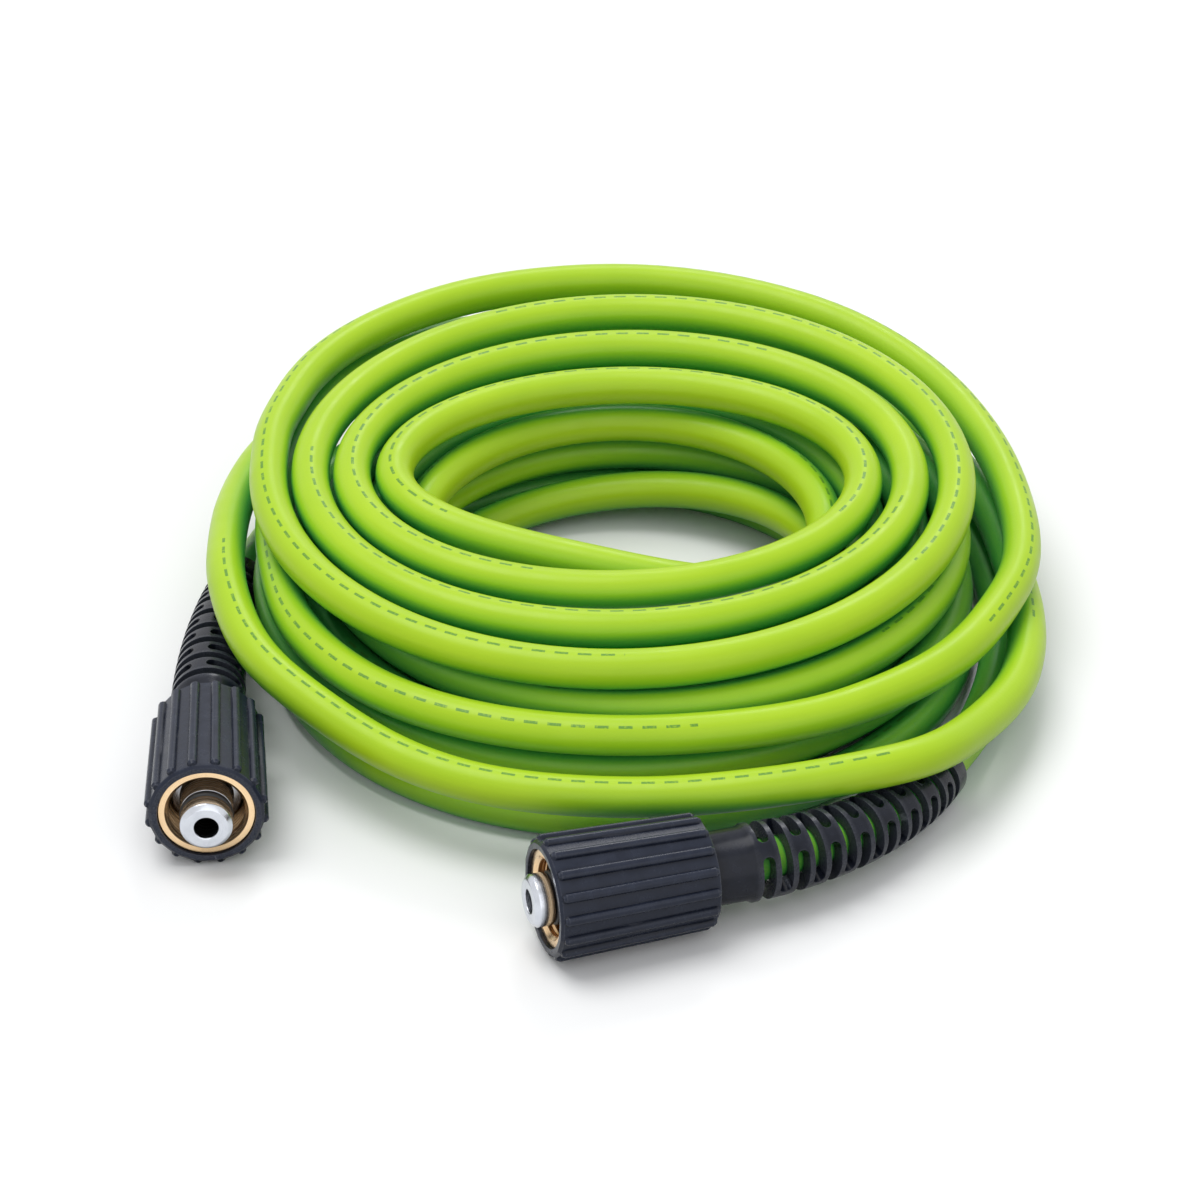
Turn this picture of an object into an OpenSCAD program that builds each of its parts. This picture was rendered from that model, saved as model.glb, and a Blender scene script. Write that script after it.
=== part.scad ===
// Coiled high-pressure hose with a swivel coupling at each end, lying on a floor.
// Millimetres, +Z up. The origin is the middle of the base of the whole object.
// The hose runs clockwise seen from above, from the left coupling to the right one.

/* [Hose] */
// Outer diameter of the hose
hose_d = 11; // [10:0.1:11]
// Outer diameter of the braid under the cover
braid_d = 9.4; // [9:0.1:9.6]
// Outer diameter of the inner tube under the braid
inner_tube_d = 8.6; // [7.4:0.1:8.8]

/* [Coil] */
// Number of rings of the hose form in each loop
rings_per_loop = 24; // [20:4:24]
// Height from one layer of loops to the next
layer_rise = 12.9; // [12.9:0.1:14]
// Growth of that height for each 100 mm towards the back
layer_lean = 1; // [0:0.1:1]
// Loss of that height for each 50 mm of loop radius past the smallest loop
layer_sag = 0.4; // [0:0.1:0.4]
// Share of the hose diameter that is cut flat where it lies on the floor
floor_cut_share = 0.1; // [0.07:0.01:0.12]

/* [Probe] */
// Diameter of the plug-in probe
probe_d = 14; // [13.8:0.1:14.4]
// Length of the probe from its tip to its flange
probe_l = 16; // [14.5:0.5:18]
// Bore of the probe
probe_bore_d = 6.4; // [6:0.1:6.6]
// Bore of the tail
tail_bore_d = 4.6; // [4:0.1:4.8]
// Diameter of the countersink in the tip of the probe
probe_sink_d = 6.9; // [6.8:0.1:7.4]
// Chamfer around the tip of the probe
probe_chamfer = 1.2; // [0.6:0.1:1.6]
// Width of the O-ring groove
groove_w = 2.6; // [2.4:0.1:3]
// Distance from the tip of the probe to the O-ring groove
groove_at = 5.2; // [4:0.1:6.4]
// Section of the O-ring
o_ring_d = 2; // [1.8:0.1:2.2]
// How far the O-ring stands out of its groove
o_ring_stand = 0.2; // [0.1:0.05:0.3]
// Diameter of the flange that the nut pulls on
flange_d = 18.6; // [17.8:0.1:19.4]
// Thickness of the flange
flange_t = 2.6; // [2:0.1:3.4]
// Diameter of the neck that the nut slides on
neck_d = 13; // [12:0.1:13.4]
// Diameter of the tail inside the hose
tail_d = 6; // [5.6:0.1:6.6]
// Thickness of the slip washer
washer_t = 0.8; // [0.5:0.1:1]
// Diameter of the slip washer
washer_d = 18; // [17:0.1:19]

/* [Nut] */
// Major diameter of the female thread
thread_d = 22; // [21.8:0.1:22.4]
// Pitch of the thread
thread_pitch = 1.5; // [1.25:0.25:1.5]
// Number of thread grooves
thread_turns = 8; // [5:1:9]
// Plain length in front of the thread
thread_lead = 1.5; // [1:0.1:2]
// Outer diameter of the brass nut
nut_d = 26; // [25:0.1:26.6]
// Thickness of the wall at the rear of the nut
nut_wall = 2.5; // [2:0.1:3.5]
// How far the nut slides forward
nut_travel = 6.5; // [4:0.5:7]
// How far the probe stands in front of the grip when the nut is back
probe_stand = 6.6; // [5:0.1:8]
// How far the brass face lies behind the front of the grip
nut_recess = 1; // [0.5:0.1:2]

/* [Grip sleeve] */
// Length of the grip sleeve
grip_l = 43.8; // [40:0.2:50]
// Diameter over the front of the grip ribs
grip_d = 33.3; // [33:0.1:36]
// Diameter over the rear of the grip ribs
grip_rear_d = 30.8; // [30.8:0.1:33]
// Diameter of the sleeve between the ribs, at its front
panel_d = 30.6; // [30:0.1:31]
// Number of ribs around the sleeve
rib_count = 16; // [10:2:18]
// Width of a rib
rib_w = 2.6; // [2:0.1:2.8]
// Length of the plain collar in front of the ribs
grip_lip = 1.6; // [1:0.1:4]
// Length of the plain collar behind the ribs
grip_rear_lip = 0.8; // [0.6:0.1:4]
// How much smaller the front face is than the panels, per side
grip_chamfer = 0.8; // [0.4:0.1:1]

/* [Ferrule and bend restrictor] */
// Outer diameter of the crimped ferrule
ferrule_d = 16.4; // [15.6:0.1:16.8]
// Length of the ferrule lip that grips the neck
ferrule_lip = 3; // [2:0.5:4]
// Thickness of the collar behind the ferrule
collar_stop = 1.4; // [1:0.1:3]
// Gap between the nut and the ferrule
ferrule_behind_nut = 1; // [0.5:0.1:2]
// How much of the ferrule stands out of the collar in front
ferrule_shows = 6.5; // [4:0.5:8]
// How far the tail stops short of the mouth of the ferrule
tail_short = 2.5; // [1:0.5:5]
// How far in front of the hose the bore narrows to the bore of the tail
bore_step = 3; // [2:0.5:5]
// Outer diameter of the smooth collar of the bend restrictor
collar_d = 19.7; // [19:0.1:20.2]
// Length of the collar that shows behind the grip
collar_shows = 10.5; // [8.5:0.5:12]
// Outer diameter of the first ring of the bend restrictor
ring_first_d = 21; // [19:0.1:22]
// Outer diameter of the last ring and of the small end collar
ring_last_d = 15.2; // [15:0.1:17]
// Number of rings between the two end collars
ring_count = 15; // [12:1:16]
// Thickness of a ring along the hose
ring_w = 1.5; // [1.2:0.1:2]
// Width of the slots between two rings
slot_w = 3; // [2.4:0.1:3.2]
// Width of the webs that join two rings
web_w = 4.2; // [3:0.1:5]
// How far the webs are turned from the plane of the bend
web_turn = 138; // [90:1:180]
// Length of the flare between the smooth collar and the first ring
flare_l = 1.4; // [0.6:0.1:2]
// Length of the collar at the small end
end_collar_l = 5.5; // [4:0.5:6]
// Angle through which the left bend restrictor bends
left_bend = 14; // [13.5:0.5:15.5]
// Angle through which the right bend restrictor bends
right_bend = 49.6; // [48:0.2:51]

/* [Places on the floor] */
// Direction from the tip of the left coupling towards the hose, in degrees from +X
left_heading = 94; // [93:0.5:95]
// Direction from the tip of the right coupling towards the hose, in degrees from +X
right_heading = 19; // [18.5:0.1:19.5]
// How far the left nut rests in front of its rear stop
left_nut_forward = 0; // [0:0.1:0.4]
// How far the right nut rests in front of its rear stop
right_nut_forward = 2.6; // [2:0.1:3]

/* [Hidden] */
$fn = 48;
// Overshoot of a cut past the face that it opens
past = 1;

// Clearances
stop_gap = 0.1;
slide_gap = 0.3;
collar_gap = 0.4;
hose_gap = 0.5;
floor_gap = 0.5;
// Webs stand this far behind the bore of the rings, and below their rims
web_inset = 0.15;
web_below = 0.5;

// Colours
cover_green = [0.6, 0.82, 0.13];
braid_white = [0.85, 0.85, 0.8];
tube_black = [0.15, 0.15, 0.16];
plastic_black = [0.17, 0.18, 0.22];
brass = [0.85, 0.68, 0.38];
zinc = [0.82, 0.84, 0.88];

hose_r = hose_d / 2;
floor_cut = hose_d * floor_cut_share;
// Height of the lowest loops, whose underside is cut flat on the floor
coil_z = hose_r - floor_cut;
// The middle of the base of the whole object, seen from the middle of the coil
base_middle = [1.87, -29.36];

// The four layers: turns, first and last radius of the loops (across and in depth),
// first and last centre of the loops.
// The first layer winds in on the floor, the second out, the third in and the fourth out.
layers = [
    [2.75, [104, 104], [62, 62], [2, -23], [5, -14]],
    [3.5, [59.5, 59.5], [101, 101], [6.6, -12], [6.6, -12]],
    [3, [92, 92], [56, 56], [9, -9], [9, -9]],
    [3, [64.4, 44.5], [102.3, 105.2], [4.8, -1], [6.8, 4.2]]];
// Where the first loop starts, in degrees from +X
first_azimuth = 90;
// Turns that the hose needs to climb one layer
climb_turns = 0.5;
// How far the hose swings out of its spiral while it climbs from each layer
climb_swings = [-4, 6, -14];
// Radius of the loops that the sag is counted from
sag_radius = 60;

// Route of the hose from the last loop, down around the outside to the right coupling
right_route = [
    [-86, 61, 42.4], [-67.5, 88, 42.5], [-36.5, 110, 42.3], [4, 119.5, 41.5],
    [42, 115.5, 39.5], [76, 99, 36.8], [101, 70, 34], [115, 36, 31.5], [120.5, 2, 29.3],
    [119.5, -25, 28.5], [112, -47, 28.5], [99, -71, 28.5], [81, -89, 28.5], [53, -105, 28.5],
    [11, -112, 28.5], [-28, -107, 28.5], [-60, -90, 28.5], [-82, -62, 28.8], [-91, -30, 29],
    [-94, 5, 29.2], [-90.5, 42, 29.5], [-77.5, 78.5, 30], [-49, 105.5, 29], [-8, 114, 28],
    [35, 109, 26], [70, 90, 23.5], [97, 62, 20.5], [113, 29, 17.8], [118.5, -5, 17],
    [120.5, -40, 16.8], [115, -71, 17.8], [102, -96, 20.5], [88, -115.5, 24.8], [70, -125.5, 26.5],
    [46, -130, 24.6], [12, -131, 21.8], [-25, -127, 21.8], [-53, -114, 22.6], [-78, -91, 25], [-95, -70, 28],
    [-104.5, -40, 29.8], [-106.8, -10, 28], [-105.5, 20, 24.8], [-98, 52, 22], [-82, 79, 19],
    [-55, 98, 17], [-20, 107, 16], [16, 105, 15.2], [50, 95, 13], [80, 77, 10], [101, 50, 7],
    [112, 18, 5.6], [115, -15, 5.6], [112.3, -45, 5.6], [106, -69, 5.8], [100, -83, 6.4]];
// Route of the hose from the left coupling to the first loop
left_route = [[-99, 21, 5.8], [-91.5, 43, 5.6], [-77, 60, 5.6], [-57, 71, 5.6], [-37, 77, 5.2]];
// Rings of the loose hose for each chosen point, and its sides
lead_ring_step = 0.7;
lead_sides = 8;
coil_sides = 6;
arc_rings = 6;

// The grip lies on two ribs, and its taper tilts the coupling down towards the hose
rib_ring_r = (grip_d - rib_w) / 2;
rib_ring_drop = (grip_d - grip_rear_d) / 2;
panel_rear_d = panel_d - 2 * rib_ring_drop;
ribs_l = grip_l - grip_lip - grip_rear_lip;
ribs_at = probe_stand + grip_lip;
lowest_ribs_turn = 180 / rib_count;
tilt = atan(rib_ring_drop * cos(lowest_ribs_turn) / ribs_l);
tip_z = ribs_at * sin(tilt) + rib_ring_r * cos(lowest_ribs_turn) * cos(tilt) + rib_w / 2;

// Places along the axis of a coupling, from the tip of the probe towards the hose
flange_rear = probe_l + flange_t;
washer_at = flange_rear + nut_travel + stop_gap;
nut_wall_at = washer_at + washer_t + stop_gap;
nut_rear = nut_wall_at + nut_wall;
nut_front = probe_stand + nut_recess;
grip_rear = probe_stand + grip_l;
ferrule_at = nut_rear + ferrule_behind_nut;
hose_at = ferrule_at + ferrule_lip;
collar_at = ferrule_at + ferrule_shows;
collar_end = grip_rear + collar_shows;
ferrule_end = collar_end - collar_stop;
tail_end = ferrule_end - tail_short;

// Thread with 60 degree flanks, an eighth of the pitch flat at its root and a quarter at its crest
thread_depth = (1 - 1 / 8 - 1 / 4) * thread_pitch / 2 / tan(30);
thread_minor_r = thread_d / 2 - thread_depth;
thread_at = nut_front + thread_lead;

// Bend restrictor, measured along its arc
ring_pitch = ring_w + slot_w;
rings_l = ring_count * ring_pitch + slot_w;
arc_l = rings_l + end_collar_l;
hose_bore_d = hose_d + 2 * hose_gap;

// Couplings: place of the probe tip, direction towards the hose, bend, side of the bend,
// how far the nut rests forward
left_end = [[-103.4, -137.8], left_heading, left_bend, -1, left_nut_forward];
right_end = [[-18.4, -169.9], right_heading, right_bend, 1, right_nut_forward];

function arc_radius(end) = arc_l * 180 / (PI * end[2]);
function axis_way(end) = [cos(end[1]) * cos(tilt), sin(end[1]) * cos(tilt), -sin(tilt)];
function up_way(end) = [cos(end[1]) * sin(tilt), sin(end[1]) * sin(tilt), cos(tilt)];
function side_way(end) = end[3] * [-sin(end[1]), cos(end[1]), 0];
// Height that the bend restrictor still has to lose when it follows the tilt alone
function boot_drop(end) = tip_z - (collar_end + arc_radius(end) * sin(end[2])) * sin(tilt)
    - ring_last_d / 2 - floor_gap;
// Angle by which the plane of the bend is rolled towards the floor
function arc_roll(end) = asin(min(1, boot_drop(end)
    / (arc_radius(end) * (1 - cos(end[2])) * cos(tilt))));
function bend_way(end) = side_way(end) * cos(arc_roll(end)) - up_way(end) * sin(arc_roll(end));
function tip_place(end) = [end[0].x, end[0].y, tip_z];
function on_axis(end, s) = tip_place(end) + axis_way(end) * s;
function on_arc(end, t) = on_axis(end, collar_end)
    + axis_way(end) * arc_radius(end) * sin(end[2] * t)
    + bend_way(end) * arc_radius(end) * (1 - cos(end[2] * t));
function arc_exit(end) = axis_way(end) * cos(end[2]) + bend_way(end) * sin(end[2]);

// Curve of the coil
function ease(t) = t * t * (3 - 2 * t);
function mix(a, b, t) = a + (b - a) * t;
function turns_before(k) = k == 0 ? 0 : turns_before(k - 1) + layers[k - 1][0] + climb_turns;
function loop_place(r, c, turns, level) =
    let (a = first_azimuth - 360 * turns)
    let (y = c.y + r.y * sin(a))
    [c.x + r.x * cos(a), y, coil_z + level * (layer_rise + layer_lean * y / 100
        - layer_sag * (r.x - sag_radius) / 50)];
function wound(k, t) = loop_place(mix(layers[k][1], layers[k][2], t), mix(layers[k][3], layers[k][4], t),
    turns_before(k) + layers[k][0] * t, k);
function climb(k, t) = loop_place(
    mix(layers[k][2], layers[k + 1][1], ease(t)) + [1, 1] * climb_swings[k] * pow(sin(180 * t), 2),
    mix(layers[k][4], layers[k + 1][3], ease(t)),
    turns_before(k) + layers[k][0] + climb_turns * t, k + ease(t));
function layer_rings(k) = round(layers[k][0] * rings_per_loop);
climb_rings = climb_turns * rings_per_loop;
last_layer = len(layers) - 1;
loops = [for (k = [0 : last_layer]) each concat(
    [for (i = [0 : layer_rings(k) - 1]) wound(k, i / layer_rings(k))],
    k == last_layer ? [wound(k, 1)] : [for (i = [0 : climb_rings - 1]) climb(k, i / climb_rings)])];

// The coil ends in one hose diameter of straight hose at each end
function unit(v) = v / norm(v);
function way_along(turns) = let (a = first_azimuth - 360 * turns) [sin(a), -cos(a), 0];
first_way = way_along(0);
last_way = way_along(turns_before(last_layer) + layers[last_layer][0]);
coil_first = loops[0] - first_way * hose_d;
coil_last = loops[len(loops) - 1] + last_way * hose_d;
coil_path = concat([coil_first], loops, [coil_last]);

// A smooth curve through chosen points
function at_end(p, i) = i < 0 ? 2 * p[0] - p[1]
    : i > len(p) - 1 ? 2 * p[len(p) - 1] - p[len(p) - 2] : p[i];
function curve(p, i, t) = let (a = at_end(p, i - 1), b = p[i], c = at_end(p, i + 1), d = at_end(p, i + 2))
    (2 * b + (c - a) * t + (2 * a - 5 * b + 4 * c - d) * t * t
    + (3 * b - a - 3 * c + d) * t * t * t) / 2;
function along(p, n) = [for (k = [0 : n]) let (t = k * (len(p) - 1) / n, i = min(floor(t), len(p) - 2))
    curve(p, i, t - i)];
function smooth_path(p) = along(p, ceil((len(p) - 1) / lead_ring_step));

// The loose hose starts at the mouth of the ferrule and follows the bend restrictor
function boot_path(end) = concat([on_axis(end, ferrule_end)],
    [for (i = [0 : arc_rings]) on_arc(end, i / arc_rings)]);
function reversed(p) = [for (i = [len(p) - 1 : -1 : 0]) p[i]];
function past_boot(end) = on_arc(end, 1) + arc_exit(end) * hose_d / 2;
left_path = concat(boot_path(left_end),
    smooth_path(concat([past_boot(left_end)], left_route, [coil_first - first_way * hose_d])),
    [coil_first]);
right_path = concat([coil_last],
    smooth_path(concat([coil_last + last_way * hose_d], right_route, [past_boot(right_end)])),
    reversed(boot_path(right_end)));

// A hose form swept along a path, kept off the floor
function way_at(p, i) = unit(p[min(i + 1, len(p) - 1)] - p[max(i - 1, 0)]);
function ring_at(c, way, sides, first) = let (s = unit(cross([0, 0, 1], way)), u = cross(way, s))
    [for (k = [0 : sides - 1]) let (a = first + 360 * k / sides, q = c + hose_r * (cos(a) * s + sin(a) * u))
    [q.x, q.y, max(q.z, 0)]];

module sweep(path, sides, first) {
    corners = [for (i = [0 : len(path) - 1]) each ring_at(path[i], way_at(path, i), sides, first)];
    last = (len(path) - 1) * sides;
    walls = [for (i = [0 : len(path) - 2]) for (k = [0 : sides - 1])
        let (a = i * sides + k, b = i * sides + (k + 1) % sides)
        each [[a, b + sides, b], [a, a + sides, b + sides]]];
    caps = [for (k = [1 : sides - 2]) each [[0, k, k + 1], [last, last + k + 1, last + k]]];
    polyhedron(points = corners, faces = concat(walls, caps), convexity = 20);
}

// The whole length of hose and its least gap to itself
function hose_length(p) = len(p) < 2 ? 0 : [for (i = [0 : len(p) - 2]) norm(p[i + 1] - p[i])]
    * [for (i = [0 : len(p) - 2]) 1];
function gap_to(q, a, b) = let (t = max(0, min(1, (q - a) * (b - a) / ((b - a) * (b - a)))))
    norm(q - a - (b - a) * t) - hose_d;
function least_gap(p, skip) = min([for (i = [0 : len(p) - 1]) for (j = [i + skip : 1 : len(p) - 2])
    gap_to(p[i], p[j], p[j + 1])]);

// Places a coupling, built along +Z from the probe tip, with -X pointing up
module at_coupling(end) {
    translate(tip_place(end)) rotate([0, 90 + tilt, end[1]]) children();
}

// The nut, its sleeve and the slip washer rest where the nut was left along its travel
module at_nut(end) {
    at_coupling(end) translate([0, 0, -end[4]]) children();
}

// Turns +X to the side that the bend restrictor bends to
module towards_bend(end) {
    rotate(end[3] * (90 - arc_roll(end))) children();
}

// A place along the arc of the bend restrictor
module at_arc(end, s) {
    a = end[2] * s / arc_l;
    r = arc_radius(end);
    translate([r * (1 - cos(a)), 0, collar_end + r * sin(a)]) rotate([0, a, 0]) children();
}

module tube(outer_d, inner_d, from, to) {
    translate([0, 0, from]) difference() {
        cylinder(d = outer_d, h = to - from);
        translate([0, 0, -past]) cylinder(d = inner_d, h = to - from + 2 * past);
    }
}

module nipple() {
    probe_r = probe_d / 2;
    bore_r = probe_bore_d / 2;
    tail_bore_r = tail_bore_d / 2;
    groove_r = probe_r + o_ring_stand - o_ring_d;
    sink_l = (probe_sink_d - probe_bore_d) / 2;
    rotate_extrude() polygon([
        [tail_bore_r, tail_end],
        [tail_bore_r, hose_at - bore_step],
        [bore_r, hose_at - bore_step],
        [bore_r, sink_l],
        [probe_sink_d / 2, 0],
        [probe_r - probe_chamfer, 0],
        [probe_r, probe_chamfer],
        [probe_r, groove_at],
        [groove_r, groove_at],
        [groove_r, groove_at + groove_w],
        [probe_r, groove_at + groove_w],
        [probe_r, probe_l],
        [flange_d / 2, probe_l],
        [flange_d / 2, flange_rear],
        [neck_d / 2, flange_rear],
        [neck_d / 2, hose_at],
        [tail_d / 2, hose_at],
        [tail_d / 2, tail_end]]);
}

module o_ring() {
    translate([0, 0, groove_at + groove_w / 2]) rotate_extrude()
        translate([probe_d / 2 + o_ring_stand - o_ring_d / 2, 0]) circle(d = o_ring_d);
}

module thread_nut() {
    crest = thread_pitch / 8;
    flank = (thread_pitch - 2 * crest) / 2;
    groove = [for (i = [0 : thread_turns - 1]) let (z = thread_at + i * thread_pitch) each [
        [thread_minor_r, z],
        [thread_d / 2, z + flank],
        [thread_d / 2, z + flank + crest],
        [thread_minor_r, z + 2 * flank + crest]]];
    rotate_extrude() polygon(concat(
        [[nut_d / 2, nut_rear], [nut_d / 2, nut_front], [thread_d / 2, nut_front],
        [thread_minor_r, nut_front + thread_depth]],
        groove,
        [[thread_minor_r, nut_wall_at], [neck_d / 2 + slide_gap, nut_wall_at],
        [neck_d / 2 + slide_gap, nut_rear]]));
}

module grip_sleeve() {
    collar_bore_r = collar_d / 2 + collar_gap;
    rib_lean = atan(rib_ring_drop / ribs_l);
    rotate_extrude() polygon([
        [nut_d / 2, probe_stand],
        [panel_d / 2 - grip_chamfer, probe_stand],
        [panel_d / 2, probe_stand + grip_chamfer],
        [panel_d / 2, ribs_at],
        [panel_rear_d / 2, ribs_at + ribs_l],
        [panel_rear_d / 2, grip_rear],
        [collar_bore_r, grip_rear],
        [collar_bore_r, nut_rear],
        [nut_d / 2, nut_rear]]);
    for (k = [0 : rib_count - 1]) rotate((k + 0.5) * 360 / rib_count)
        translate([rib_ring_r, 0, ribs_at]) rotate([0, -rib_lean, 0])
            cylinder(d = rib_w, h = ribs_l / cos(rib_lean), $fn = 24);
}

module slip_washer() {
    tube(washer_d, neck_d + 2 * slide_gap, washer_at, washer_at + washer_t);
}

module ferrule() {
    tube(ferrule_d, neck_d, ferrule_at, hose_at);
    tube(ferrule_d, hose_d, hose_at, ferrule_end);
}

// One of the three walls of the hose inside the ferrule
module hose_end(outer_d, inner_d) {
    tube(outer_d, inner_d, hose_at, ferrule_end);
}

module boot_ring(d, l) {
    translate([0, 0, -l / 2]) difference() {
        cylinder(d = d, h = l);
        translate([0, 0, -past]) cylinder(d = hose_bore_d, h = l + 2 * past);
    }
}

// The collar widens to a first ring of its own
module collar_flare() {
    ring_at = collar_end - ring_w;
    flare_at = ring_at - flare_l;
    difference() {
        union() {
            translate([0, 0, flare_at]) cylinder(d1 = collar_d, d2 = ring_first_d, h = flare_l);
            translate([0, 0, ring_at]) cylinder(d = ring_first_d, h = ring_w);
        }
        translate([0, 0, flare_at - past]) cylinder(d = ferrule_d, h = ferrule_end - flare_at + past);
        translate([0, 0, ferrule_end - past]) cylinder(d = hose_bore_d, h = collar_stop + 2 * past);
    }
}

// Outer diameter of the restrictor at a place along its arc
function ring_size(s) = mix(ring_first_d, ring_last_d, max(0, min(1, s / rings_l)));

// Two webs bridge each slot, and each row of webs stands square to the next
module boot_webs(row) {
    s = slot_w / 2 + row * ring_pitch;
    inner = hose_bore_d / 2 + web_inset;
    outer = ring_size(s) / 2 - web_below;
    for (side = [0, 180]) rotate(side + 90 * (row % 2) + web_turn)
        translate([inner, -web_w / 2, -ring_pitch / 2]) cube([outer - inner, web_w, ring_pitch]);
}

module bend_restrictor(end) {
    tube(collar_d, ferrule_d, collar_at, ferrule_end);
    tube(collar_d, hose_bore_d, ferrule_end, collar_end);
    collar_flare();
    towards_bend(end) {
        for (i = [0 : ring_count - 1]) let (s = (i + 1) * ring_pitch - ring_w / 2)
            at_arc(end, s) boot_ring(ring_size(s), ring_w);
        for (row = [0 : ring_count]) at_arc(end, slot_w / 2 + row * ring_pitch) boot_webs(row);
        at_arc(end, rings_l + end_collar_l / 2) boot_ring(ring_last_d, end_collar_l);
    }
}

module coupling_piece(end, name) {
    if (name == "grip_sleeve") color(plastic_black) at_nut(end) grip_sleeve();
    if (name == "thread_nut") color(brass) at_nut(end) thread_nut();
    if (name == "slip_washer") color(zinc) at_nut(end) slip_washer();
    if (name == "nipple") color(zinc) at_coupling(end) nipple();
    if (name == "o_ring") color(tube_black) at_coupling(end) o_ring();
    if (name == "ferrule") color(zinc) at_coupling(end) ferrule();
    if (name == "bend_restrictor") color(plastic_black) at_coupling(end) bend_restrictor(end);
    if (name == "cover") color(cover_green) at_coupling(end) hose_end(hose_d, braid_d);
    if (name == "braid") color(braid_white) at_coupling(end) hose_end(braid_d, inner_tube_d);
    if (name == "inner") color(tube_black) at_coupling(end) hose_end(inner_tube_d, tail_d);
}

module hose_coil() {
    color(cover_green) sweep(coil_path, coil_sides, 0);
}

module left_hose_lead() {
    color(cover_green) sweep(left_path, lead_sides, 180 / lead_sides);
}

module right_hose_lead() {
    color(cover_green) sweep(right_path, lead_sides, 180 / lead_sides);
}

module left_grip_sleeve() {
    coupling_piece(left_end, "grip_sleeve");
}

module left_thread_nut() {
    coupling_piece(left_end, "thread_nut");
}

module left_slip_washer() {
    coupling_piece(left_end, "slip_washer");
}

module left_nipple() {
    coupling_piece(left_end, "nipple");
}

module left_o_ring() {
    coupling_piece(left_end, "o_ring");
}

module left_ferrule() {
    coupling_piece(left_end, "ferrule");
}

module left_bend_restrictor() {
    coupling_piece(left_end, "bend_restrictor");
}

module left_hose_cover_end() {
    coupling_piece(left_end, "cover");
}

module left_braid_end() {
    coupling_piece(left_end, "braid");
}

module left_inner_tube_end() {
    coupling_piece(left_end, "inner");
}

module right_grip_sleeve() {
    coupling_piece(right_end, "grip_sleeve");
}

module right_thread_nut() {
    coupling_piece(right_end, "thread_nut");
}

module right_slip_washer() {
    coupling_piece(right_end, "slip_washer");
}

module right_nipple() {
    coupling_piece(right_end, "nipple");
}

module right_o_ring() {
    coupling_piece(right_end, "o_ring");
}

module right_ferrule() {
    coupling_piece(right_end, "ferrule");
}

module right_bend_restrictor() {
    coupling_piece(right_end, "bend_restrictor");
}

module right_hose_cover_end() {
    coupling_piece(right_end, "cover");
}

module right_braid_end() {
    coupling_piece(right_end, "braid");
}

module right_inner_tube_end() {
    coupling_piece(right_end, "inner");
}

translate([-base_middle.x, -base_middle.y, 0]) {
    hose_coil();
    left_hose_lead();
    right_hose_lead();
    left_grip_sleeve();
    left_thread_nut();
    left_slip_washer();
    left_nipple();
    left_o_ring();
    left_ferrule();
    left_bend_restrictor();
    left_hose_cover_end();
    left_braid_end();
    left_inner_tube_end();
    right_grip_sleeve();
    right_thread_nut();
    right_slip_washer();
    right_nipple();
    right_o_ring();
    right_ferrule();
    right_bend_restrictor();
    right_hose_cover_end();
    right_braid_end();
    right_inner_tube_end();
}

union() {
    echo(least_gap_of_the_coil = least_gap(coil_path, 6));
    echo(length_of_hose = hose_length(left_path) + hose_length(coil_path) + hose_length(right_path));
}
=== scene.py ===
"""A coiled high-pressure hose with a swivel coupling at each end, on a pale studio floor."""
import math

import bmesh
import bpy
from mathutils import Matrix, Vector


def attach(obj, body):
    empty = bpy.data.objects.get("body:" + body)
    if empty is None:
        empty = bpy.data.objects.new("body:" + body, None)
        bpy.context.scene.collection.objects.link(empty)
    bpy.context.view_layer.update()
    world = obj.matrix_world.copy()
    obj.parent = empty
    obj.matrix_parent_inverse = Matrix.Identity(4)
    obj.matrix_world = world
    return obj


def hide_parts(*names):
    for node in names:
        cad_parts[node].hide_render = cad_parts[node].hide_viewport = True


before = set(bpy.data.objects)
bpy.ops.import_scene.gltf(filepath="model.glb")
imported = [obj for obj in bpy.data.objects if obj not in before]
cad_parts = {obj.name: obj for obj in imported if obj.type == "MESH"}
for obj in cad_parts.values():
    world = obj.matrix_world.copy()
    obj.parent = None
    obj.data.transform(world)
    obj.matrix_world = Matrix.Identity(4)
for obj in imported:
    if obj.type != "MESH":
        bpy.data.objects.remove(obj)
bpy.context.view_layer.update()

# Lengths are in millimetres up to the line that makes each mesh, as in the model of the frame.
MM = 0.001
BASE_MIDDLE = Vector((1.87, -29.36, 0))

# Camera: how far, how high and how long a lens
CAMERA_AIM = -BASE_MIDDLE * MM
CAMERA_DISTANCE = 1.228
CAMERA_ELEVATION = 32.5
CAMERA_LENS = 126

# Light: a wide soft lamp overhead, weak ones in front and behind, a room brighter above than below.
# Each lamp has a name, a strength, a place that it shines from and a width in degrees.
LAMPS = [
    ("overhead", 1.35, (-0.35, 0.15, 1.2), 38),
    ("front_fill", 0.6, (0.3, -1.2, 0.7), 70),
    ("rim", 0.38, (0.15, 0.9, 0.8), 14)]
WORLD_LOW = 0.32
WORLD_HIGH = 0.75
FLOOR_SEEN = 0.93
FLOOR_CAST = 0.35
FLOOR_HALF = 6

# Painted shade: the rubber is painted greener on its sheltered sides and deep green in the crevices
# between the loops
CREVICE_REACH = 0.03
SHELTER_SHADE_SHARE = 0.75
CREVICE_SHADE_SHARE = 0.85
# Painted shade: the metals are painted darker inside the couplings, and the plastic is painted darker in
# the valleys beside ribs
HOLLOW_REACH = 0.012
HOLLOW_SHADE_SHARE = 0.72
VALLEY_REACH = 0.003
VALLEY_SHADE_SHARE = 0.9

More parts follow.
